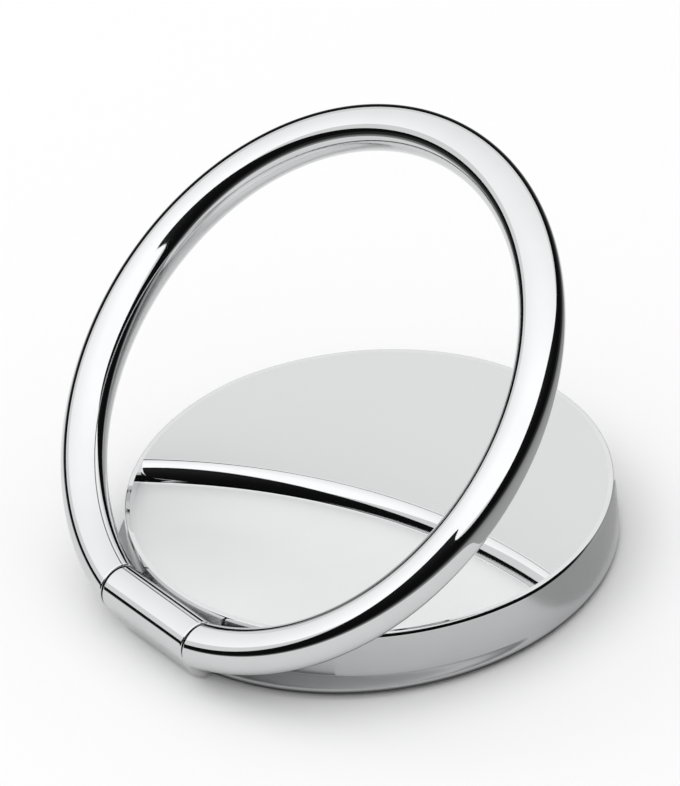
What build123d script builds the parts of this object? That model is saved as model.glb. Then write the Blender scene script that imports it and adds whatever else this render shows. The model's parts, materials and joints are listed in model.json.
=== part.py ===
from build123d import *
import os
from math import atan2, degrees, sqrt

# A finger ring and stand that sticks to a flat back, in millimetres.
# The origin is the middle of the adhesive face, +Z points away from what it sticks to,
# and the hinge of the ring lies towards -Y.

# Disc, in plan
DISC_DIAMETER = 40.0
FRONT_TRIM = 0.1  # how much smaller the front arc of the disc is than its back arc
RING_SETBACK = 1.3  # how far the folded ring stands back, so that it overhangs behind for a fingertip
CORNER_EASE = 6.0  # the arc that joins front and back is this much smaller than the back arc
RIM_BEVEL = 0.25
FOOT_ROUND = 0.3
RIM_GAP = 0.3  # running gap under the turning disc
FOOT_HEIGHT = 0.6  # of the full-round foot, which runs under the folded ring
FLARE_HEIGHT = 0.6  # over which the wall spreads out to the foot

# Scooped step across the top of the disc, and the lower floor in front of it
FLOOR_DEPTH = 1.45
TROUGH_DEPTH = 0.05  # the cove dips this far below the floor
SCOOP_RADIUS = 49.0
SCOOP_TURN = 22.0  # the scoop is turned this far from the hinge line
SCOOP_APEX = 0.2  # from the middle of the disc to the scoop's top edge
LIP = 0.5

# Ring and its hinge
RING_WIRE = 3.7
RING_PLAY = 0.25  # between the folded ring and the disc inside it
RING_LIFT = 1.75  # under the folded ring, so that the disc shows below it
RING_ANGLE = 40.0  # how far the ring is raised from folded
BARREL_LENGTH = 10.4
BARREL_TOE = 0.5  # how far the foot of the barrel stands out past the round of the disc
BARREL_ROOT = 1.5  # how far the foot of the barrel runs into the wall of the disc
SEAM_GAP = 0.2
EDGE_BREAK = 0.15
PIN_DIAMETER = 1.2
PIN_GRIP = 2.2  # length of pin inside each end of the ring
PIN_PLAY = 0.05
PIN_END_PLAY = 0.2

# Swivel under the disc
PAD_THICK = 0.6
PAD_INSET = 0.5
PLATE_THICK = 0.6
PLATE_PLAY = 0.3
RIM_WALL = 2.0  # thinnest wall round the recess for the plate
WEB_THICK = 1.6  # disc metal between the recess and the floor
STUD_DIAMETER = 6.0
NECK_DIAMETER = 4.0
STUD_PLAY = 0.05
STUD_END_GAP = 0.15
RETAINER_DIAMETER = 10.0
RETAINER_THICK = 0.4
SPRING_HEIGHT = 0.3
SPRING_SHEET = 0.12
SPRING_PLAY = 0.15
DIMPLE_PLAY = 0.8  # between the retaining washer and the dimple over it
DIMPLE_SLOPE = 0.7
GLIDE_PROUD = 0.1  # how far the glide ring stands above the dimple
GLIDE_PLAY = 0.6
GLIDE_INSET = 1.5
RUN_GAP = 0.05

# Heights, from the adhesive face up
PLATE_UNDER = PAD_THICK
PLATE_TOP = PLATE_UNDER + PLATE_THICK
NECK_END = PAD_THICK + STUD_END_GAP
SHOULDER = NECK_END + RETAINER_THICK
DIMPLE_UNDER = SHOULDER + SPRING_HEIGHT + RUN_GAP
DIMPLE_TOP = DIMPLE_UNDER + PLATE_THICK
GLIDE_TOP = DIMPLE_TOP + GLIDE_PROUD
CEILING = GLIDE_TOP + RUN_GAP
FLOOR = CEILING + WEB_THICK
TOP = FLOOR + FLOOR_DEPTH
FOOT_TOP = RIM_GAP + FOOT_HEIGHT
FLARE_TOP = FOOT_TOP + FLARE_HEIGHT

# Radii and places that follow from the sizes above
DISC_RADIUS = DISC_DIAMETER / 2
FRONT_RADIUS = DISC_RADIUS - FRONT_TRIM
WIRE_RADIUS = RING_WIRE / 2
RING_RADIUS = FRONT_RADIUS + RING_PLAY + WIRE_RADIUS  # to the middle of the wire
SEAM_X = BARREL_LENGTH / 2 + SEAM_GAP
HINGE_Y = RING_SETBACK - sqrt(RING_RADIUS**2 - SEAM_X**2)
HINGE_Z = RING_LIFT + WIRE_RADIUS
HINGE = Axis((0, HINGE_Y, HINGE_Z), (1, 0, 0))
COVE_RADIUS = FLOOR_DEPTH + TROUGH_DEPTH
FRONT_EASE = CORNER_EASE - FRONT_TRIM
CORNER_Y = (CORNER_EASE**2 - FRONT_EASE**2 + RING_SETBACK**2) / (2 * RING_SETBACK)
CORNER_X = sqrt(CORNER_EASE**2 - CORNER_Y**2)
MEETS_BACK = degrees(atan2(CORNER_Y, CORNER_X))  # direction in which a corner arc runs into the back arc
MEETS_FRONT = degrees(atan2(CORNER_Y - RING_SETBACK, CORNER_X))
FRONT_REACH = FRONT_RADIUS - RING_SETBACK  # from the swivel axis to the front wall
RECESS_RADIUS = FRONT_REACH - RIM_WALL
PLATE_RADIUS = RECESS_RADIUS - PLATE_PLAY
PAD_RADIUS = PLATE_RADIUS - PAD_INSET
STUD_RADIUS = STUD_DIAMETER / 2
NECK_RADIUS = NECK_DIAMETER / 2
RETAINER_RADIUS = RETAINER_DIAMETER / 2
DIMPLE_RADIUS = RETAINER_RADIUS + DIMPLE_PLAY
GLIDE_INNER = DIMPLE_RADIUS + DIMPLE_SLOPE + GLIDE_PLAY
GLIDE_OUTER = PLATE_RADIUS - GLIDE_INSET


def four_arcs(radius, corner, corner_radius, setback, front_radius):
    """Plan of four arcs in turn: round back, left corner, front and right corner."""
    turn = MEETS_BACK - MEETS_FRONT
    back = CenterArc((0, 0), radius, MEETS_BACK, 180 - 2 * MEETS_BACK)
    left = CenterArc((-corner[0], corner[1]), corner_radius, 180 - MEETS_BACK, turn)
    front = CenterArc((0, setback), front_radius, 180 - MEETS_FRONT, 180 + 2 * MEETS_FRONT)
    right = CenterArc(corner, corner_radius, MEETS_FRONT, turn)
    return make_face([back, left, front, right])


def outline(inset=0.0):
    """Plan of the disc: a round back, a front arc that nests inside the folded ring, and easy corners."""
    corner = (CORNER_X, CORNER_Y)
    corner_radius = DISC_RADIUS - CORNER_EASE - inset
    return four_arcs(DISC_RADIUS - inset, corner, corner_radius, RING_SETBACK, FRONT_RADIUS - inset)


def foot_outline():
    """Plan of the foot: full round, parted where the arcs of the outline above it meet."""
    return four_arcs(DISC_RADIUS, (0, 0), DISC_RADIUS, 0, DISC_RADIUS)


def column(radius, low, high):
    """Round column about the swivel axis, from one height to another."""
    return Pos(0, 0, low) * extrude(Circle(radius), high - low)


def turned(*points):
    """Ring or disc turned about the swivel axis from its half section of radius and height."""
    section = make_face(Polyline(*points, close=True))
    return revolve(Plane.XZ * section, Axis.Z)


def scoop():
    """What is cut from the top: the floor's pocket and the cove that leads down to it."""
    centre = Rot(0, 0, SCOOP_TURN) * Pos(0, SCOOP_APEX - SCOOP_RADIUS, TOP)
    sweep_radius = SCOOP_RADIUS - COVE_RADIUS
    pocket = centre * Pos(0, 0, -FLOOR_DEPTH) * extrude(Circle(sweep_radius), 2 * FLOOR_DEPTH)
    cove = centre * Torus(sweep_radius, COVE_RADIUS)
    inside_lip = Pos(0, 0, TOP - 2 * COVE_RADIUS) * extrude(outline(LIP), 4 * COVE_RADIUS)
    return (pocket + cove) & inside_lip


def hinge_boss():
    """Barrel that the ring swings on, and the tapered foot that carries it on the front of the disc."""
    barrel = Pos(HINGE_Y, HINGE_Z) * Circle(WIRE_RADIUS)
    toe = Pos(FOOT_ROUND - DISC_RADIUS - BARREL_TOE, RIM_GAP + FOOT_ROUND) * Circle(FOOT_ROUND)
    root = Pos(-FRONT_REACH, RIM_GAP) * Rectangle(BARREL_ROOT, HINGE_Z - RIM_GAP, align=Align.MIN)
    section = make_hull([*barrel.edges(), *toe.edges(), *root.edges()])
    boss = extrude(Plane.YZ * section, BARREL_LENGTH / 2, both=True)
    ends = boss.faces().sort_by(Axis.X)
    return chamfer(ends[0].edges() + ends[-1].edges(), EDGE_BREAK)


def hinge_pin():
    """Straight pin pressed through the barrel, with its ends in the ring."""
    section = Plane.YZ * Pos(HINGE_Y, HINGE_Z) * Circle(PIN_DIAMETER / 2)
    return extrude(section, SEAM_X + PIN_GRIP, both=True)


def disc_body():
    """Plated casting: disc on a full-round foot, scooped step, hinge barrel, recess and swivel stud."""
    blank = Pos(0, 0, FLARE_TOP) * extrude(outline(), TOP - FLARE_TOP)
    blank = chamfer(blank.faces().sort_by(Axis.Z)[-1].edges(), RIM_BEVEL)
    flare = loft([Pos(0, 0, FOOT_TOP) * foot_outline(), Pos(0, 0, FLARE_TOP) * outline()], ruled=True)
    foot = Pos(0, 0, RIM_GAP) * extrude(foot_outline(), FOOT_HEIGHT)
    foot = fillet(foot.faces().sort_by(Axis.Z)[0].edges(), FOOT_ROUND)
    body = blank + flare + foot + hinge_boss() - scoop()
    body -= column(RECESS_RADIUS, 0, CEILING)
    body += column(STUD_RADIUS, SHOULDER, CEILING) + column(NECK_RADIUS, NECK_END, SHOULDER)
    return body - hinge_pin()


def finger_ring():
    """Round wire bent to a ring, open at the hinge, with a blind hole for the pin in each end."""
    ring = Pos(0, RING_SETBACK, HINGE_Z) * Torus(RING_RADIUS, WIRE_RADIUS)
    ring -= Pos(0, HINGE_Y, HINGE_Z) * Box(2 * SEAM_X, 2 * RING_WIRE, 2 * RING_WIRE)
    ends = ring.faces().filter_by(GeomType.PLANE)
    ring = chamfer(ends.edges(), EDGE_BREAK)
    hole_reach = SEAM_X + PIN_GRIP + PIN_END_PLAY
    hole = Plane.YZ * Pos(HINGE_Y, HINGE_Z) * Circle(PIN_DIAMETER / 2 + PIN_PLAY)
    ring -= extrude(hole, hole_reach, both=True)
    return ring.rotate(HINGE, RING_ANGLE)


def mounting_plate():
    """Stamped plate that stays put, dimpled in the middle over the retaining washer."""
    hole = STUD_RADIUS + STUD_PLAY
    return turned(
        (hole, DIMPLE_UNDER),
        (DIMPLE_RADIUS, DIMPLE_UNDER),
        (DIMPLE_RADIUS + DIMPLE_SLOPE, PLATE_UNDER),
        (PLATE_RADIUS, PLATE_UNDER),
        (PLATE_RADIUS, PLATE_TOP),
        (DIMPLE_RADIUS + DIMPLE_SLOPE, PLATE_TOP),
        (DIMPLE_RADIUS, DIMPLE_TOP),
        (hole, DIMPLE_TOP),
    )


def glide_ring():
    """Moulded ring that the disc turns on, seated on the plate."""
    return column(GLIDE_OUTER, PLATE_TOP, GLIDE_TOP) - column(GLIDE_INNER, PLATE_TOP, GLIDE_TOP)


def spring_washer():
    """Coned washer between the retaining washer and the dimple, which keeps the swivel stiff."""
    inner = STUD_RADIUS + SPRING_PLAY
    cone_rise = SPRING_HEIGHT - SPRING_SHEET
    return turned(
        (inner, SHOULDER),
        (RETAINER_RADIUS, SHOULDER + cone_rise),
        (RETAINER_RADIUS, SHOULDER + SPRING_HEIGHT),
        (inner, SHOULDER + SPRING_SHEET),
    )


def retaining_washer():
    """Flat washer staked on the neck of the stud, against its shoulder."""
    return column(RETAINER_RADIUS, NECK_END, SHOULDER) - column(NECK_RADIUS, NECK_END, SHOULDER)


def adhesive_pad():
    """Double-sided foam tape under the plate."""
    return column(PAD_RADIUS, 0, PAD_THICK)


os.makedirs("parts", exist_ok=True)
for make in (
    disc_body,
    finger_ring,
    hinge_pin,
    mounting_plate,
    glide_ring,
    spring_washer,
    retaining_washer,
    adhesive_pad,
):
    export_step(make(), f"parts/{make.__name__}.step")
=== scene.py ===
import bmesh
import bpy
import json
import numpy as np
from mathutils import Matrix, Vector


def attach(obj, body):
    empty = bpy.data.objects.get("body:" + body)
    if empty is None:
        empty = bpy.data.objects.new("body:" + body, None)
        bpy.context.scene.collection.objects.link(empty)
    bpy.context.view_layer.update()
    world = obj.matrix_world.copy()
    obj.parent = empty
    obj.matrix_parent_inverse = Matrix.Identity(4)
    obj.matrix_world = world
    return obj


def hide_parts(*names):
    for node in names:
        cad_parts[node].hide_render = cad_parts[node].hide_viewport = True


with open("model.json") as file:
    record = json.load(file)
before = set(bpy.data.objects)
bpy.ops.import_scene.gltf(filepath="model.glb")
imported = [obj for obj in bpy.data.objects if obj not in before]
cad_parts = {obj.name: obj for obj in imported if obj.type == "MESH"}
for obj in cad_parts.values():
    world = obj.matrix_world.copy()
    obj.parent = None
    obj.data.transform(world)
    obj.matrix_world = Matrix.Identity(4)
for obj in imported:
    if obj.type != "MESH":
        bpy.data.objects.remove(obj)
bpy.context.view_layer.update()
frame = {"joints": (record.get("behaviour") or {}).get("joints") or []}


# Adhesive pad: a round of double-sided foam tape, die-cut from black closed-cell foam.
# It bonds the mounting plate to whatever the holder is stuck on.
FOAM_BLACK = (0.02, 0.02, 0.021)
FOAM_DUSTY = (0.055, 0.054, 0.053)
FOAM_CELL_DEPTH = 0.0001


def add(tree, kind, inputs=None, **settings):
    """New shader node: a socket given as an input is linked, any other value is set on the input."""
    node = tree.nodes.new(kind)
    for name, value in settings.items():
        setattr(node, name, value)
    for name, value in (inputs or {}).items():
        if isinstance(value, bpy.types.NodeSocket):
            tree.links.new(value, node.inputs[name])
        else:
            node.inputs[name].default_value = value
    return node


def new_finish(name):
    """Empty material, with its node tree and the coordinates of the piece it is put on."""
    material = bpy.data.materials.new(name)
    material.use_nodes = True
    tree = material.node_tree
    tree.nodes.clear()
    place = add(tree, "ShaderNodeTexCoord").outputs["Object"]
    return material, tree, place


def close_finish(tree, surface):
    """Joins a finished surface shader to the output of its material."""
    add(tree, "ShaderNodeOutputMaterial", {"Surface": surface.outputs[0]})


def tone_between(tree, share, first, last):
    """Colour that goes from a first tone to a last one as the share goes from 0 to 1.

    Each tone is a red, green and blue, or a socket that puts out a colour.
    """
    mix = add(tree, "ShaderNodeMix", {"Factor": share}, data_type="RGBA")
    for name, tone in (("A", first), ("B", last)):
        if isinstance(tone, bpy.types.NodeSocket):
            tree.links.new(tone, mix.inputs[name])
        else:
            mix.inputs[name].default_value = (*tone, 1.0)
    return mix.outputs["Result"]


def dress(node_name, finish):
    """Gives a solid of the frame its finish, in place of the one it came with."""
    slots = bpy.data.objects[node_name].data.materials
    slots.clear()
    slots.append(finish)


foam, tree, place = new_finish("black foam tape")
cells = add(tree, "ShaderNodeTexVoronoi", {"Vector": place, "Scale": 2600.0, "Randomness": 1.0})
dust = add(tree, "ShaderNodeTexNoise", {"Vector": place, "Scale": 420.0, "Detail": 6.0, "Roughness": 0.6})
foam_bump = add(tree, "ShaderNodeBump", {
    "Height": cells.outputs["Distance"],
    "Strength": 0.5,
    "Distance": FOAM_CELL_DEPTH,
})
close_finish(tree, add(tree, "ShaderNodeBsdfPrincipled", {
    "Base Color": tone_between(tree, dust.outputs["Fac"], FOAM_BLACK, FOAM_DUSTY),
    "Roughness": 0.88,
    "Normal": foam_bump.outputs["Normal"],
}))
dress("adhesive_pad", foam)


# Mounting plate: stamped from rolled steel sheet, with a dimple over the retaining washer.
# It stays on the pad while the disc turns above it.
MIDDLE_OF_NOISE = (0.3, 0.7)
STREAK_DEPTH = 0.00002


def pattern_group(name, outputs):
    """New node group that puts out values for a place on a surface, with the socket of that place."""
    group = bpy.data.node_groups.new(name, "ShaderNodeTree")
    group.interface.new_socket("Vector", in_out="INPUT", socket_type="NodeSocketVector")
    for output in outputs:
        group.interface.new_socket(output, in_out="OUTPUT", socket_type="NodeSocketFloat")
    return group, add(group, "NodeGroupInput").outputs["Vector"]


def ramp(tree, value, over, ends, curve="LINEAR"):
    """Value that goes from one end to the other while another goes over a range, and stays beyond it."""
    node = add(tree, "ShaderNodeMapRange", {
        "Value": value,
        "From Min": over[0],
        "From Max": over[1],
        "To Min": ends[0],
        "To Max": ends[1],
    }, interpolation_type=curve)
    return node.outputs["Result"]


def rolled_grain():
    """Group: fine streaks along X, as left by a rolling mill, and the cloudy tone of bare sheet."""
    group, place = pattern_group("rolled grain", ("Streak", "Cloud"))
    drawn = add(group, "ShaderNodeMapping", {"Vector": place, "Scale": (180.0, 9000.0, 9000.0)})
    streak = add(group, "ShaderNodeTexNoise", {
        "Vector": drawn.outputs["Vector"],
        "Scale": 1.0,
        "Detail": 3.0,
    })
    cloud = add(group, "ShaderNodeTexNoise", {"Vector": place, "Scale": 260.0, "Detail": 5.0})
    add(group, "NodeGroupOutput", {"Streak": streak.outputs["Fac"], "Cloud": cloud.outputs["Fac"]})
    return group


def bare_steel(name, dark, light, smooth, rough):
    """Bare steel: tone between two greys by the cloud, roughness between two values by the streaks."""
    material, tree, place = new_finish(name)
    grain = add(tree, "ShaderNodeGroup", {"Vector": place}, node_tree=grain_group)
    bump = add(tree, "ShaderNodeBump", {
        "Height": grain.outputs["Streak"],
        "Strength": 0.15,
        "Distance": STREAK_DEPTH,
    })
    close_finish(tree, add(tree, "ShaderNodeBsdfPrincipled", {
        "Base Color": tone_between(tree, grain.outputs["Cloud"], dark, light),
        "Metallic": 1.0,
        "Roughness": ramp(tree, grain.outputs["Streak"], MIDDLE_OF_NOISE, (smooth, rough)),
        "Normal": bump.outputs["Normal"],
    }))
    return material


grain_group = rolled_grain()
dress("mounting_plate", bare_steel(
    "rolled sheet steel",
    dark=(0.40, 0.40, 0.41),
    light=(0.60, 0.60, 0.61),
    smooth=0.28,
    rough=0.48,
))


# Glide ring: moulded in natural acetal, milky white and slightly waxy.
# It is seated on the plate, and the disc turns on its top face.
ACETAL_CREAM = (0.74, 0.73, 0.69)
ACETAL_WHITE = (0.84, 0.83, 0.80)
ACETAL_ROUGHNESS = (0.36, 0.5)
acetal, tree, place = new_finish("natural acetal")
flow = add(tree, "ShaderNodeTexNoise", {"Vector": place, "Scale": 300.0, "Detail": 4.0, "Distortion": 0.6})
close_finish(tree, add(tree, "ShaderNodeBsdfPrincipled", {
    "Base Color": tone_between(tree, flow.outputs["Fac"], ACETAL_CREAM, ACETAL_WHITE),
    "Roughness": ramp(tree, flow.outputs["Fac"], (0.0, 1.0), ACETAL_ROUGHNESS),
}))
dress("glide_ring", acetal)


# Spring washer and retaining washer: the coned spring is hardened strip, the flat washer zinc-grey steel.
# The washer is staked on the stud and holds the spring against the dimple of the plate.
dress("spring_washer", bare_steel(
    "hardened spring steel",
    dark=(0.20, 0.20, 0.22),
    light=(0.34, 0.34, 0.36),
    smooth=0.22,
    rough=0.38,
))
dress("retaining_washer", bare_steel(
    "washer steel",
    dark=(0.46, 0.46, 0.47),
    light=(0.62, 0.62, 0.63),
    smooth=0.3,
    rough=0.45,
))


# Disc: a zinc casting, polished and chrome plated, with a satin flat behind a scooped step and a lower
# satin floor in front of it, inside a thin lip. Its front nests inside the folded ring and spreads out
# below to a full-round foot. A stud underneath goes through the plate.
MM = 0.001
DISC_RADIUS = 20.0
FRONT_RADIUS = 19.9
SETBACK = 1.3
CORNER_EASE = 6.0
RIM_BEVEL = 0.28
RIM_STEEP = 66.0
RIM_SOFTEN = 0.08
RIM_ROW = 0.3
FOOT_ROUND = 0.3
LIP = 0.5
FOOT = 0.3
FOOT_TOP = 0.9
FLARE_TOP = 1.5
FLARE_ROWS = 25
WALL_ROW = 3.6
FLOOR = 3.85
TOP = 5.3
SCOOP_RADIUS = 49.0
SCOOP_TURN = np.radians(22.0)
SCOOP_APEX = 0.2
SCOOP_WIDEST = 0.6
STEP_SETBACK = 0.5
STEP_ROUND = 0.8
STEP_SHOULDER = 40.0
STEP_LEAN = 20.0
STEP_FILLET = 0.1
RECESS_RADIUS = 16.6
CEILING = 2.25
STUD_RADIUS = 3.0
SHOULDER = 1.15
NECK_RADIUS = 2.0
NECK_END = 0.75
ALONG = 420
HALVINGS = 60
HOLD = 0.03
FLAT_ROWS = (0, 0.002, 0.3, 0.6, 0.99, 1)
MERGE_DISTANCE = 2e-7
# The ledge facing picks the upward faces that get painted shade; the extra roughness there is real finish.
LEDGE_FACING = (0.1, 0.5)
LEDGE_ROUGHER = 0.3
# Heights over which the painted shadow line on the foot fades out.
FOOT_SHADE_HEIGHT = (0.0008, 0.0006)
HAIRLINE_DEPTH = 0.00001

corner_radius = DISC_RADIUS - CORNER_EASE
front_ease = CORNER_EASE - DISC_RADIUS + FRONT_RADIUS
corner_y = (CORNER_EASE**2 - front_ease**2 + SETBACK**2) / (2 * SETBACK)
corner_x = np.sqrt(CORNER_EASE**2 - corner_y**2)
meets_back = np.arctan2(corner_y, corner_x)
meets_front = np.arctan2(corner_y - SETBACK, corner_x)


def rim(facing, inset, trim=1.0):
    """Outline of the disc, by the direction each point faces.

    Each point is the centre of the arc that faces that way, plus its radius less the inset along
    that direction. The back arc is about the middle, the front arc about a point set back from it,
    and a smaller arc on each side joins the two. Trim takes it from full round, at 0, to this at 1.
    """
    turn = (facing + np.pi / 2) % (2 * np.pi) - np.pi / 2
    side = np.abs(np.angle(np.exp(1j * turn)))
    half = np.where(turn > np.pi / 2, np.pi - turn, turn)
    sign = np.where(side > np.pi / 2, -1.0, 1.0)
    back = half >= meets_back
    front = half <= meets_front
    centre_x = np.where(back | front, 0.0, sign * corner_x)
    centre_y = np.where(back, 0.0, np.where(front, SETBACK, corner_y))
    radius = np.where(back, DISC_RADIUS, np.where(front, FRONT_RADIUS, corner_radius))
    reach = DISC_RADIUS + trim * (radius - DISC_RADIUS) - inset
    return trim * centre_x + reach * np.cos(facing), trim * centre_y + reach * np.sin(facing)


def rim_arc(x, y):
    """How far a point lies outside the outline, and the direction it lies in from its arc's centre.

    The arc is the one whose sector holds the point. The distance is from that arc's centre, less its
    radius, so it is below zero inside the outline.
    """
    lean = np.arctan2(y - corner_y, np.abs(x) - corner_x)
    back = lean >= meets_back
    front = lean <= meets_front
    centre_x = np.where(back | front, 0.0, np.sign(x) * corner_x)
    centre_y = np.where(back, 0.0, np.where(front, SETBACK, corner_y))
    radius = np.where(back, DISC_RADIUS, np.where(front, FRONT_RADIUS, corner_radius))
    return np.hypot(x - centre_x, y - centre_y) - radius, np.arctan2(y - centre_y, x - centre_x)


def arc(across, up, radius, start, stop, count):
    """Points of a circle in a section, from one angle to another, in degrees."""
    angle = np.radians(np.linspace(start, stop, count))
    return across + radius * np.cos(angle), up + radius * np.sin(angle)


def scoop_point(distance, swing):
    """Point at a distance from the scoop's far-off centre, swung from the line through its top edge."""
    reach = SCOOP_RADIUS - SCOOP_APEX
    x = reach * np.sin(SCOOP_TURN) + distance * np.sin(swing - SCOOP_TURN)
    y = -reach * np.cos(SCOOP_TURN) + distance * np.cos(swing - SCOOP_TURN)
    return x, y


def scoop_end(distance, side):
    """Swing at which an arc of the scoop meets the inside of the lip, by halving the interval."""
    inside = np.zeros_like(distance)
    outside = np.full_like(distance, side * SCOOP_WIDEST)
    for _ in range(HALVINGS):
        middle = (inside + outside) / 2
        gap, _facing = rim_arc(*scoop_point(distance, middle))
        within = gap + LIP < 0
        inside = np.where(within, middle, inside)
        outside = np.where(within, outside, middle)
    return inside


def ruled(first, last, steps):
    """Surface between two rows of points, each point of the first row going straight to its pair."""
    share = np.asarray(steps)[:, None, None]
    return first + share * (last - first)


def level(x, y, height):
    """Row of points at one height, or at a height for each point."""
    return np.stack([x, y, np.broadcast_to(height, np.shape(x))], -1)


def closed_mesh(name, patches, finishes, sharp_angle):
    """Mesh of grids of points in millimetres, joined where their edges meet.

    Each patch is an array of rows of points, whether the last column joins the first, and its
    finish. Every cell gives two triangles. Points that fall together are merged.
    """
    points = []
    triangles = []
    finish_numbers = []
    start = 0
    for rows, wraps, finish in patches:
        count, width, _three = rows.shape
        below = np.arange(count - 1)[:, None] * width
        here = np.arange(width if wraps else width - 1)[None, :]
        after = (here + 1) % width
        a, b, c, d = below + here, below + after, below + width + after, below + width + here
        cells = np.stack([np.stack([a, b, c], -1), np.stack([a, c, d], -1)], 2).reshape(-1, 3)
        points.append(rows.reshape(-1, 3))
        triangles.append(cells + start)
        finish_numbers.append(np.full(len(cells), finishes.index(finish)))
        start += count * width
    mesh = bpy.data.meshes.new(name)
    mesh.from_pydata((np.concatenate(points) * MM).tolist(), [], np.concatenate(triangles).tolist())
    mesh.polygons.foreach_set("material_index", np.concatenate(finish_numbers).astype(np.int32))
    shape = bmesh.new()
    shape.from_mesh(mesh)
    bmesh.ops.remove_doubles(shape, verts=shape.verts, dist=MERGE_DISTANCE)
    bmesh.ops.recalc_face_normals(shape, faces=shape.faces)
    shape.to_mesh(mesh)
    shape.free()
    for finish in finishes:
        mesh.materials.append(finish)
    mesh.shade_smooth()
    mesh.set_sharp_from_angle(angle=np.radians(sharp_angle))
    piece = bpy.data.objects.new(name, mesh)
    bpy.context.scene.collection.objects.link(piece)
    return piece


def polish_marks():
    """Group: patches of slightly duller polish, hairline marks and the faint swell of a plated casting."""
    group, place = pattern_group("polish marks", ("Dull", "Hairline", "Swell"))
    dull = add(group, "ShaderNodeTexNoise", {"Vector": place, "Scale": 190.0, "Detail": 5.0})
    tilted = add(group, "ShaderNodeMapping", {
        "Vector": place,
        "Rotation": (0.3, 0.2, 0.7),
        "Scale": (60.0, 5200.0, 5200.0),
    })
    hairline = add(group, "ShaderNodeTexNoise", {
        "Vector": tilted.outputs["Vector"],
        "Scale": 1.0,
        "Detail": 2.0,
    })
    swell = add(group, "ShaderNodeTexNoise", {"Vector": place, "Scale": 130.0, "Detail": 1.0})
    add(group, "NodeGroupOutput", {
        "Dull": dull.outputs["Fac"],
        "Hairline": hairline.outputs["Fac"],
        "Swell": swell.outputs["Fac"],
    })
    return group


def plating(name, tones, smooth, rough, line_strength, swell_depth, ledge_shade_tone=None, foot_shade_tone=None):
    """Chrome plate: tone and roughness follow the dull patches, hairlines and swell tilt the surface.

    A ledge shade tone is painted shade on the part that faces upwards, under the folded ring: it dims the
    reflection there, which is also rougher, as the buffing wheel couldn't reach it. A foot shade tone is
    painted shade on the lowest edge, a dark line that stands for the shadow where the disc meets the
    floor.
    """
    material, tree, place = new_finish(name)
    marks = add(tree, "ShaderNodeGroup", {"Vector": place}, node_tree=polish_group)
    colour = tone_between(tree, marks.outputs["Dull"], *tones)
    roughness = ramp(tree, marks.outputs["Dull"], MIDDLE_OF_NOISE, (smooth, rough))
    if ledge_shade_tone:
        faces = add(tree, "ShaderNodeSeparateXYZ", {0: add(tree, "ShaderNodeTexCoord").outputs["Normal"]})
        ledge = ramp(tree, faces.outputs["Z"], LEDGE_FACING, (0.0, 1.0), "SMOOTHSTEP")
        height = add(tree, "ShaderNodeSeparateXYZ", {0: place})
        foot = ramp(tree, height.outputs["Z"], FOOT_SHADE_HEIGHT, (0.0, 1.0))
        # Painted shade: upward faces take a darker tone, which dims their reflection.
        colour = tone_between(tree, ledge, colour, ledge_shade_tone)
        # Painted shadow: the lowest edge goes near black, a dark line for the shadow where the disc meets
        # the floor.
        colour = tone_between(tree, foot, colour, foot_shade_tone)
        roughness = add(
            tree, "ShaderNodeMath", {0: ledge, 1: LEDGE_ROUGHER, 2: roughness}, operation="MULTIPLY_ADD",
        ).outputs[0]
    swell = add(tree, "ShaderNodeBump", {
        "Height": marks.outputs["Swell"],
        "Strength": 1.0,
        "Distance": swell_depth,
    })
    line = add(tree, "ShaderNodeBump", {
        "Height": marks.outputs["Hairline"],
        "Strength": line_strength,
        "Distance": HAIRLINE_DEPTH,
        "Normal": swell.outputs["Normal"],
    })
    close_finish(tree, add(tree, "ShaderNodeBsdfPrincipled", {
        "Base Color": colour,
        "Metallic": 1.0,
        "Roughness": roughness,
        "Normal": line.outputs["Normal"],
    }))
    return material


polish_group = polish_marks()
bright_plate = plating(
    "bright chrome plate",
    tones=((0.58, 0.585, 0.59), (0.64, 0.645, 0.65)),
    smooth=0.02,
    rough=0.06,
    line_strength=0.01,
    swell_depth=0.000008,
)
wall_plate = plating(
    "soft chrome plate",
    tones=((0.5, 0.505, 0.51), (0.56, 0.565, 0.57)),
    smooth=0.2,
    rough=0.28,
    line_strength=0.02,
    swell_depth=0.000008,
    # Painted shade on the upward-facing ledge, dimming its reflection.
    ledge_shade_tone=(0.38, 0.385, 0.39),
    # Painted shadow line along the lowest edge, where the disc meets the floor.
    foot_shade_tone=(0.09, 0.09, 0.092),
)
satin_plate = plating(
    "satin chrome plate",
    tones=((0.60, 0.605, 0.605), (0.63, 0.635, 0.635)),
    smooth=0.34,
    rough=0.37,
    line_strength=0.03,
    swell_depth=0.000002,
)
# Painted light: the lower floor is the same satin plating as the flat, with tones set lighter so that it
# shows brighter.
lightened_floor_plate = plating(
    "satin chrome floor painted lighter",
    tones=((0.73, 0.735, 0.735), (0.77, 0.775, 0.775)),
    smooth=0.42,
    rough=0.45,
    line_strength=0.03,
    swell_depth=0.000002,
)

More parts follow.
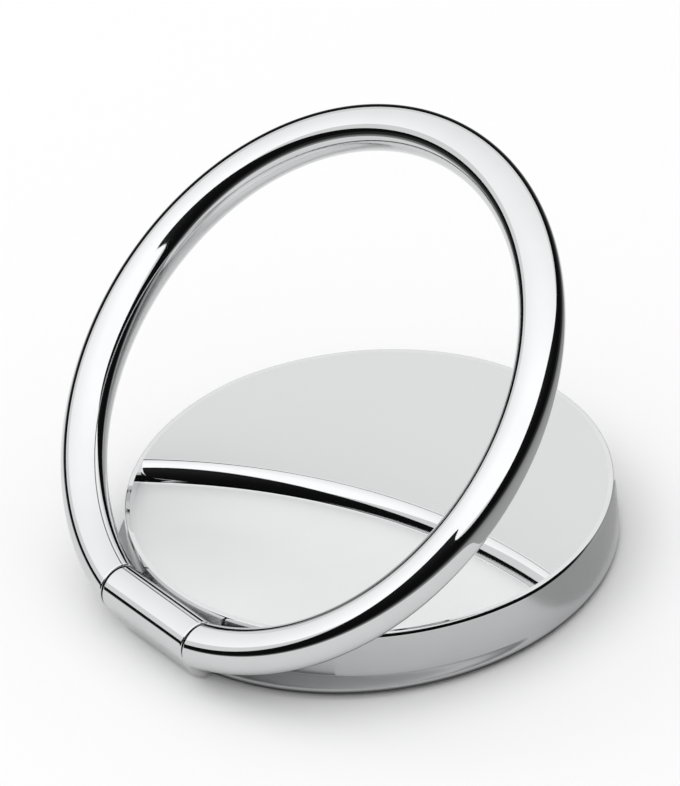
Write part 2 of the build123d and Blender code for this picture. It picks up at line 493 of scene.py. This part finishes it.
# The step's section: a rounded top edge, a long bulging face that leans, and a fillet at the floor.
shoulder = 180 - STEP_SHOULDER
edge_across, edge_up = arc(
    SCOOP_RADIUS + STEP_SETBACK, TOP - STEP_ROUND, STEP_ROUND, start=90, stop=shoulder, count=25,
)
fillet_across, fillet_up = arc(
    0.0, FLOOR + STEP_FILLET, STEP_FILLET, start=-STEP_LEAN, stop=-90, count=9,
)
face_drop = np.sin(np.radians(STEP_SHOULDER)) - np.sin(np.radians(STEP_LEAN))
face_round = (edge_up[-1] - fillet_up[0]) / face_drop
face_across, face_up = arc(0.0, 0.0, face_round, start=shoulder, stop=180 - STEP_LEAN, count=25)
face_across += edge_across[-1] - face_across[0]
face_up += edge_up[-1] - face_up[0]
fillet_across += face_across[-1] - fillet_across[0]
step_across = np.concatenate([edge_across, face_across[1:], fillet_across[1:]])
step_up = np.concatenate([edge_up, face_up[1:], fillet_up[1:]])

# The step runs along arcs of the scoop, from the lip on one side to the lip on the other.
left_swing = scoop_end(step_across, -1)
right_swing = scoop_end(step_across, 1)
share = np.linspace(0, 1, ALONG + 1)
swing = left_swing[:, None] + share * (right_swing - left_swing)[:, None]
step_x, step_y = scoop_point(step_across[:, None], swing)
step = level(step_x, step_y, step_up[:, None])

# The lip goes on from the ends of the step, round the back and round the front.
left_facing = rim_arc(step_x[:, 0], step_y[:, 0])[1] % (2 * np.pi)
right_facing = rim_arc(step_x[:, -1], step_y[:, -1])[1]
back_facing = np.linspace(right_facing[0], left_facing[0], ALONG + 1)
front_facing = np.linspace(left_facing[-1], right_facing[-1] + 2 * np.pi, ALONG + 1)
lip_facing = np.concatenate([left_facing, front_facing[1:-1], right_facing[::-1] + 2 * np.pi])
facing = np.concatenate([back_facing, lip_facing[1:-1]])

flat = ruled(step[0], level(*rim(back_facing[::-1], LIP), TOP), FLAT_ROWS)
low_floor = ruled(step[-1], level(*rim(front_facing, LIP), FLOOR), FLAT_ROWS)
lip_foot = np.concatenate([step_up, np.full(ALONG - 1, FLOOR), step_up[::-1]])
lip_wall = np.stack([level(*rim(lip_facing, LIP), TOP), level(*rim(lip_facing, LIP), lip_foot)])

# The skirt is the outer wall: rounded foot, flare, upright wall, bevelled rim and the flat of the lip.
bevel_in = RIM_BEVEL / np.tan(np.radians(RIM_STEEP))
low_tangent = RIM_SOFTEN * np.tan(np.radians(90 - RIM_STEEP) / 2)
high_tangent = RIM_SOFTEN * np.tan(np.radians(RIM_STEEP) / 2)
bevel_foot = TOP - RIM_BEVEL - low_tangent
bevel_turn = 90 + RIM_STEEP
foot_in, foot_up = arc(FOOT_ROUND, FOOT + FOOT_ROUND, FOOT_ROUND, start=270, stop=180, count=12)
low_in, low_up = arc(RIM_SOFTEN, bevel_foot, RIM_SOFTEN, start=180, stop=bevel_turn, count=5)
high_in, high_up = arc(
    bevel_in + high_tangent, TOP - RIM_SOFTEN, RIM_SOFTEN, start=bevel_turn, stop=90, count=8,
)
flare_up = np.linspace(FOOT_TOP, FLARE_TOP, FLARE_ROWS)
wall_up = np.concatenate([[FOOT + FOOT_ROUND + HOLD], flare_up, [WALL_ROW, bevel_foot - HOLD]])
skirt_in = np.concatenate([[FOOT_ROUND + HOLD], foot_in, 0 * wall_up, low_in, high_in, [RIM_ROW, LIP]])
skirt_up = np.concatenate([[FOOT], foot_up, wall_up, low_up, high_up, [TOP, TOP]])
wall_end = 1 + len(foot_up) + len(wall_up)
rise = np.clip((skirt_up - FOOT_TOP) / (FLARE_TOP - FOOT_TOP), 0, 1)
skirt_trim = rise**2 * (3 - 2 * rise)
skirt_x, skirt_y = rim(facing[None, :], skirt_in[:, None], skirt_trim[:, None])
skirt = level(skirt_x, skirt_y, skirt_up[:, None])

# The underside is turned: the end of the neck, the stud's shoulder, the ceiling and the recess.
under_radius = np.array([
    0, NECK_RADIUS, NECK_RADIUS, STUD_RADIUS, STUD_RADIUS, RECESS_RADIUS, RECESS_RADIUS,
])[:, None]
under_up = np.array([NECK_END, NECK_END, SHOULDER, SHOULDER, CEILING, CEILING, FOOT])[:, None]
under = level(under_radius * np.cos(facing), under_radius * np.sin(facing), under_up)

disc = closed_mesh(
    "disc_casting",
    [
        (np.concatenate([under, skirt[:wall_end]]), True, wall_plate),
        (skirt[wall_end - 1:], True, bright_plate),
        (step, False, bright_plate),
        (lip_wall, False, bright_plate),
        (flat, False, satin_plate),
        (low_floor, False, lightened_floor_plate),
    ],
    [bright_plate, wall_plate, satin_plate, lightened_floor_plate],
    sharp_angle=12,
)
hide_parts("disc_body")
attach(disc, "disc")


# Hinge barrel: part of the same plated casting, a round barrel on a tapered foot at the front of the disc.
# The pin is pressed through it, and an end of the ring stands on each side.
BARREL_LENGTH = 10.4
BARREL_TOE = 0.5
BARREL_ROWS = 61
BARREL_AROUND = 720
TOE_ROUND = 0.9
ROOT_DEPTH = 0.25
WIRE_RADIUS = 1.85
EDGE_BREAK = 0.15
EDGE_ROWS = 8
PIN_RADIUS = 0.6
hinge = next(joint for joint in frame["joints"] if joint["name"] == "ring_hinge")
hinge_y = hinge["pos_m"][1] / MM
hinge_z = hinge["pos_m"][2] / MM


def barrel_section(x, inset, facing):
    """Tight band round four circles: the barrel, the toe of its foot and two in the wall of the disc.

    For each direction the band touches the circle that reaches furthest that way, so its point is
    that circle's centre plus its radius along the direction. The circles in the wall follow the lip.
    """
    wall_y = SETBACK - np.sqrt((FRONT_RADIUS - LIP) ** 2 - x**2) - ROOT_DEPTH
    past_round = np.clip((np.abs(x) - BARREL_LENGTH / 2 + TOE_ROUND) / TOE_ROUND, 0, 1)
    toe_y = FOOT_ROUND - DISC_RADIUS - BARREL_TOE + TOE_ROUND * (1 - np.sqrt(1 - past_round**2))
    centre_y = np.stack([np.full_like(x, hinge_y), toe_y, wall_y, wall_y], -1)
    centre_z = np.array([hinge_z, FOOT + FOOT_ROUND, FOOT + 2 * FOOT_ROUND, hinge_z - EDGE_BREAK])
    radius = np.array([WIRE_RADIUS, FOOT_ROUND, EDGE_BREAK, EDGE_BREAK]) - inset[:, None]
    across = np.cos(facing)[None, :, None]
    up = np.sin(facing)[None, :, None]
    reach = centre_y[:, None, :] * across + centre_z * up + radius[:, None, :]
    best = np.argmax(reach, -1)[..., None]
    pick_y = np.take_along_axis(np.broadcast_to(centre_y[:, None, :], reach.shape), best, -1)
    pick_z = np.take_along_axis(np.broadcast_to(centre_z, reach.shape), best, -1)
    pick_radius = np.take_along_axis(np.broadcast_to(radius[:, None, :], reach.shape), best, -1)
    y = (pick_y + pick_radius * across)[..., 0]
    z = (pick_z + pick_radius * up)[..., 0]
    return np.stack([np.broadcast_to(x[:, None], y.shape), y, z], -1)


def bore_circle(x, radius, facing):
    """Circle about the hinge axis."""
    y = hinge_y + radius * np.cos(facing)
    return np.stack([np.full_like(y, x), y, hinge_z + radius * np.sin(facing)], -1)


half = BARREL_LENGTH / 2
break_in, break_along = arc(
    EDGE_BREAK, half - EDGE_BREAK, EDGE_BREAK, start=90, stop=180, count=EDGE_ROWS,
)
run = half - EDGE_BREAK - HOLD
barrel_run = run * np.sin(np.linspace(-np.pi / 2, np.pi / 2, BARREL_ROWS))
barrel_x = np.concatenate([-break_along, barrel_run, break_along[::-1]])
barrel_in = np.concatenate([break_in, 0 * barrel_run, break_in[::-1]])
around = np.linspace(0, 2 * np.pi, BARREL_AROUND, endpoint=False)
barrel_skin = barrel_section(barrel_x, barrel_in, around)
near_bore = bore_circle(-half, PIN_RADIUS, around)
far_bore = bore_circle(half, PIN_RADIUS, around)
barrel_rows = np.concatenate([near_bore[None], barrel_skin, far_bore[None], near_bore[None]])
barrel = closed_mesh("hinge_barrel", [(barrel_rows, True, bright_plate)], [bright_plate], sharp_angle=14)
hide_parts("disc_body")
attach(barrel, "disc")


# Hinge pin: a straight length of drawn steel wire, pressed through the barrel.
# Its ends turn in blind holes in the ring, and it shows only in the two thin seams.
dress("hinge_pin", bare_steel(
    "drawn steel wire",
    dark=(0.42, 0.42, 0.43),
    light=(0.58, 0.58, 0.59),
    smooth=0.18,
    rough=0.3,
))


# Ring: thick round wire, bent to a circle that is open at the hinge, polished and chrome plated.
# It is raised from the disc, and swings on the pin from folded round the disc to right over.
RING_RADIUS = 22.0
SEAM_X = 5.4
HOLE_RADIUS = 0.65
HOLE_REACH = 7.8
RAISED = np.radians(40.0)
WIRE_AROUND = 96
WIRE_ALONG = 481


def wire_at(x, radius, facing):
    """Loop of the wire's skin where it crosses a plane square to the hinge, at the right end of the ring.

    A line of the skin at some distance from the ring's axis meets the plane at x where y is the
    axis less the root of that distance squared less x squared.
    """
    distance = RING_RADIUS + radius * np.cos(facing)
    y = SETBACK - np.sqrt(distance**2 - x**2)
    return np.stack([np.full_like(y, x), y, hinge_z + radius * np.sin(facing)], -1)


def wire_run(facing, x, count):
    """Round wire along the ring: each line of its skin is a circle about the ring's axis.

    Its distance from the axis is the ring radius plus the wire radius times the cosine of the
    place round the wire, and it runs from where it meets the plane at x to the mirrored plane.
    """
    distance = RING_RADIUS + WIRE_RADIUS * np.cos(facing)
    end = np.arccos(x / distance)
    share = np.linspace(0, 1, count)[:, None]
    turn = -end + share * (np.pi + 2 * end)
    height = np.broadcast_to(hinge_z + WIRE_RADIUS * np.sin(facing), turn.shape)
    return np.stack([distance * np.cos(turn), SETBACK + distance * np.sin(turn), height], -1)


def wire_end(side, facing):
    """One end of the ring, from the bottom of the pin's hole out to the rounded edge of the face.

    The edge is a quarter circle: the loop's radius follows the cosine of an angle, its plane the sine.
    """
    back = np.pi - facing
    bottom = np.broadcast_to([HOLE_REACH, hinge_y, hinge_z], (len(facing), 3))
    rows = [bottom, bore_circle(HOLE_REACH, HOLE_RADIUS, back), bore_circle(SEAM_X, HOLE_RADIUS, back)]
    for angle in np.linspace(np.pi / 2, 0, EDGE_ROWS):
        radius = WIRE_RADIUS - EDGE_BREAK + EDGE_BREAK * np.cos(angle)
        rows.append(wire_at(SEAM_X + EDGE_BREAK - EDGE_BREAK * np.sin(angle), radius, facing))
    return np.stack(rows) * [side, 1, 1]


def swung(points, angle):
    """Points turned about the hinge axis."""
    y = points[..., 1] - hinge_y
    z = points[..., 2] - hinge_z
    turned_y = hinge_y + y * np.cos(angle) - z * np.sin(angle)
    turned_z = hinge_z + y * np.sin(angle) + z * np.cos(angle)
    return np.stack([points[..., 0], turned_y, turned_z], -1)


round_wire = np.linspace(0, 2 * np.pi, WIRE_AROUND, endpoint=False)
wire = np.concatenate([
    wire_end(1, round_wire),
    wire_run(round_wire, SEAM_X + EDGE_BREAK + HOLD, WIRE_ALONG),
    wire_end(-1, round_wire)[::-1],
])
raised_wire = swung(wire, RAISED)
ring = closed_mesh("ring_wire", [(raised_wire, True, bright_plate)], [bright_plate], sharp_angle=14)
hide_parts("finger_ring")
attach(ring, "ring")


# Floor: a pale sheet of matt card that the holder stands on, swept far out on every side. It is lifted
# towards white except close to the holder, where its shadow is kept. Seen from below it is left clear,
# and it lies a hair above the foot of the pad, so that the underside can be looked at.
WHITE = (1.0, 1.0, 1.0, 1.0)
CARD_WHITE = (0.95, 0.95, 0.95, 1.0)
SHADOW_REACH = (0.02, 0.027)
WHITE_SHARE = 0.4
FLOOR_HEIGHT = 0.00002
FLOOR_REACH = 4.0
FLOOR_LINES = 9


def seen_share(tree):
    """1 for a ray from the camera, or seen in metal or through glass, and 0 for a ray of plain light."""
    rays = add(tree, "ShaderNodeLightPath")
    share = rays.outputs["Is Camera Ray"]
    for kind in ("Is Glossy Ray", "Is Transmission Ray"):
        either = add(tree, "ShaderNodeMath", {0: share, 1: rays.outputs[kind]}, operation="MAXIMUM")
        share = either.outputs[0]
    return share


def stage_sheet(name, rows, finish):
    """Sheet that belongs to the studio and not to the holder, in metres."""
    count, width, _three = rows.shape
    corner = (np.arange(count - 1)[:, None] * width + np.arange(width - 1)[None, :]).reshape(-1)
    faces = np.stack([corner, corner + 1, corner + width + 1, corner + width], -1)
    mesh = bpy.data.meshes.new(name)
    mesh.from_pydata(rows.reshape(-1, 3).tolist(), [], faces.tolist())
    mesh.shade_smooth()
    mesh.materials.append(finish)
    sheet = bpy.data.objects.new(name, mesh)
    bpy.context.scene.collection.objects.link(sheet)
    return sheet


table, tree, place = new_finish("pale floor")
lit = add(tree, "ShaderNodeBsdfDiffuse", {"Color": CARD_WHITE})
paper = add(tree, "ShaderNodeEmission", {"Color": WHITE, "Strength": 1.0})
away = add(tree, "ShaderNodeVectorMath", {0: place}, operation="LENGTH")
lift = ramp(tree, away.outputs["Value"], SHADOW_REACH, (0.0, WHITE_SHARE), "SMOOTHSTEP")
lifted = add(tree, "ShaderNodeMath", {0: seen_share(tree), 1: lift}, operation="MULTIPLY")
card = add(tree, "ShaderNodeMixShader", {"Fac": lifted.outputs[0], 1: lit.outputs[0], 2: paper.outputs[0]})
clear = add(tree, "ShaderNodeBsdfTransparent")
side = add(tree, "ShaderNodeNewGeometry")
close_finish(tree, add(tree, "ShaderNodeMixShader", {
    "Fac": side.outputs["Backfacing"],
    1: card.outputs[0],
    2: clear.outputs[0],
}))
floor_line = np.linspace(-FLOOR_REACH, FLOOR_REACH, FLOOR_LINES)
floor_x, floor_y = np.meshgrid(floor_line, floor_line)
stage_sheet("floor", level(floor_x, floor_y, FLOOR_HEIGHT), table)


# Studio: a white tent over the holder, with a dark belt round it and a grey card on the floor, which draw
# the dark lines and the grey tones in the chrome. Only reflections show them. The belt stands taller to
# the right and to the left of the camera, and the grey card comes close to the disc at the right.
LOOK_AZIMUTH = np.radians(56.65)
LOOK_HEIGHT = np.radians(34.65)
ROLL = np.radians(-6.35)
BELT_RADIUS = 0.6
BELT_POINTS = 241
BELT_DEGREES = 14.0
RIGHT_TALLER = 22.0
LEFT_TALLER = 26.0
GAP_LOWER = 6.0
CARD_HEIGHT = 0.0004
CARD_REACH = 0.075
CARD_CLOSER = 0.724
TENT_RADIUS = 0.9
TENT_ROWS = np.linspace(24.0, 89.9, 12)
TENT_GLOW = (1.2, 1.6)
TENT_FADE = (-0.8, 0.3)
FILL_STRENGTH = 0.92
KEY_POWER = 1.9
KEY_SIDE = 0.9
KEY_LEFT = 0.55
KEY_BEHIND = 0.25
KEY_HEIGHT = 0.8
KEY_AIM = Vector((0.0, 0.0, 0.01))


def bell(centre, width, power=2):
    """Bell over the turn from the camera, in degrees, to the right where it is above zero.

    It is e to the power of minus x, where x is a power of the turn from its centre over its width.
    """
    return np.exp(-((from_camera - np.radians(centre)) / np.radians(width)) ** power)


def card_finish(name, greys, reach):
    """Grey that changes with the distance from the holder, for cards that only the chrome sees."""
    material, tree, place = new_finish(name)
    away = add(tree, "ShaderNodeVectorMath", {0: place}, operation="LENGTH")
    share = ramp(tree, away.outputs["Value"], reach, (0.0, 1.0), "SMOOTHSTEP")
    near, far = greys
    tone = tone_between(tree, share, (near, near, near), (far, far, far))
    close_finish(tree, add(tree, "ShaderNodeEmission", {"Color": tone, "Strength": 1.0}))
    return material


camera_way = LOOK_AZIMUTH - np.pi / 2
belt_turn = np.linspace(0, 2 * np.pi, BELT_POINTS)
from_camera = np.angle(np.exp(1j * (belt_turn - camera_way)))
right_flag = bell(centre=66.0, width=40.0)
left_flag = bell(centre=-34.0, width=26.0)
belt_gap = bell(centre=-105.0, width=22.0)
card_near = bell(centre=75.0, width=45.0, power=6)
belt_high = np.radians(
    BELT_DEGREES + RIGHT_TALLER * right_flag + LEFT_TALLER * left_flag - GAP_LOWER * belt_gap
)
card_reach = CARD_REACH * (1.0 - CARD_CLOSER * card_near)
belt_x = np.cos(belt_turn)
belt_y = np.sin(belt_turn)
belt_foot = level(BELT_RADIUS * belt_x, BELT_RADIUS * belt_y, CARD_HEIGHT)
belt_top = level(BELT_RADIUS * belt_x, BELT_RADIUS * belt_y, BELT_RADIUS * np.tan(belt_high))
card_edge = level(card_reach * belt_x, card_reach * belt_y, CARD_HEIGHT)
dark_card = card_finish("dark card", greys=(0.006, 0.02), reach=(0.6, 0.75))
grey_card = card_finish("grey card", greys=(0.48, 0.03), reach=(0.03, 0.17))
belt = stage_sheet("dark belt", np.stack([belt_foot, belt_top]), dark_card)
grey_table = stage_sheet("grey table", np.stack([card_edge, belt_foot]), grey_card)

tent_white, tree, place = new_finish("white tent")
toward = add(tree, "ShaderNodeVectorMath", {
    0: place,
    1: (np.cos(camera_way), np.sin(camera_way), 0.0),
}, operation="DOT_PRODUCT")
close_finish(tree, add(tree, "ShaderNodeEmission", {
    "Color": WHITE,
    "Strength": ramp(tree, toward.outputs["Value"], TENT_FADE, TENT_GLOW),
}))
tent_height = np.radians(TENT_ROWS)[:, None]
tent = stage_sheet("white tent", level(
    TENT_RADIUS * np.cos(tent_height) * np.cos(belt_turn),
    TENT_RADIUS * np.cos(tent_height) * np.sin(belt_turn),
    TENT_RADIUS * np.sin(tent_height),
), tent_white)
for sheet in (belt, grey_table, tent):
    sheet.visible_camera = False
    sheet.visible_diffuse = False
    sheet.visible_shadow = False

world = bpy.data.worlds.new("white room")
bpy.context.scene.world = world
world.use_nodes = True
tree = world.node_tree
tree.nodes.clear()
fill = add(tree, "ShaderNodeBackground", {"Color": WHITE, "Strength": FILL_STRENGTH})
white = add(tree, "ShaderNodeBackground", {"Color": WHITE, "Strength": 1.0})
room = add(tree, "ShaderNodeMixShader", {"Fac": seen_share(tree), 1: fill.outputs[0], 2: white.outputs[0]})
add(tree, "ShaderNodeOutputWorld", {"Surface": room.outputs[0]})

# The key lamp is a softbox at the left and behind, which lights without showing itself in the chrome.
back = Vector((
    np.sin(LOOK_AZIMUTH) * np.cos(LOOK_HEIGHT),
    -np.cos(LOOK_AZIMUTH) * np.cos(LOOK_HEIGHT),
    np.sin(LOOK_HEIGHT),
))
level_right = Vector((np.cos(LOOK_AZIMUTH), np.sin(LOOK_AZIMUTH), 0.0))
level_behind = Vector((-back.x, -back.y, 0.0))
key_place = -level_right * KEY_LEFT + level_behind * KEY_BEHIND + Vector((0.0, 0.0, KEY_HEIGHT))
key_lamp = bpy.data.lights.new("key softbox", "AREA")
key_lamp.shape = "RECTANGLE"
key_lamp.energy = KEY_POWER
key_lamp.size = KEY_SIDE
key_lamp.size_y = KEY_SIDE
key = bpy.data.objects.new("key softbox", key_lamp)
bpy.context.scene.collection.objects.link(key)
key.location = key_place
key.rotation_euler = (KEY_AIM - key_place).to_track_quat("-Z", "Y").to_euler()
key.visible_camera = False
key.visible_glossy = False


# Camera: a metre off with a long lens, at the height, bearing and roll of the photograph.
# It is aimed so that the holder lies where it does in the photograph's frame.
LENS = 580.0
FAR_CLIP = 20.0
AIM_HEIGHT = 0.00035
AIM_RIGHT = -0.00216
AIM_UP = 0.01197
level_up = back.cross(level_right)
right = level_right * np.cos(ROLL) + level_up * np.sin(ROLL)
up = level_up * np.cos(ROLL) - level_right * np.sin(ROLL)
camera_lens = bpy.data.cameras.new("camera")
camera_lens.lens = LENS
camera_lens.clip_end = FAR_CLIP
camera = bpy.data.objects.new("camera", camera_lens)
bpy.context.scene.collection.objects.link(camera)
target = Vector((0.0, 0.0, AIM_HEIGHT)) + right * AIM_RIGHT + up * AIM_UP
turn = Matrix((right, up, back)).transposed().to_4x4()
camera.matrix_world = Matrix.Translation(target + back) @ turn
bpy.context.scene.camera = camera
bpy.context.scene.view_settings.view_transform = "Standard"
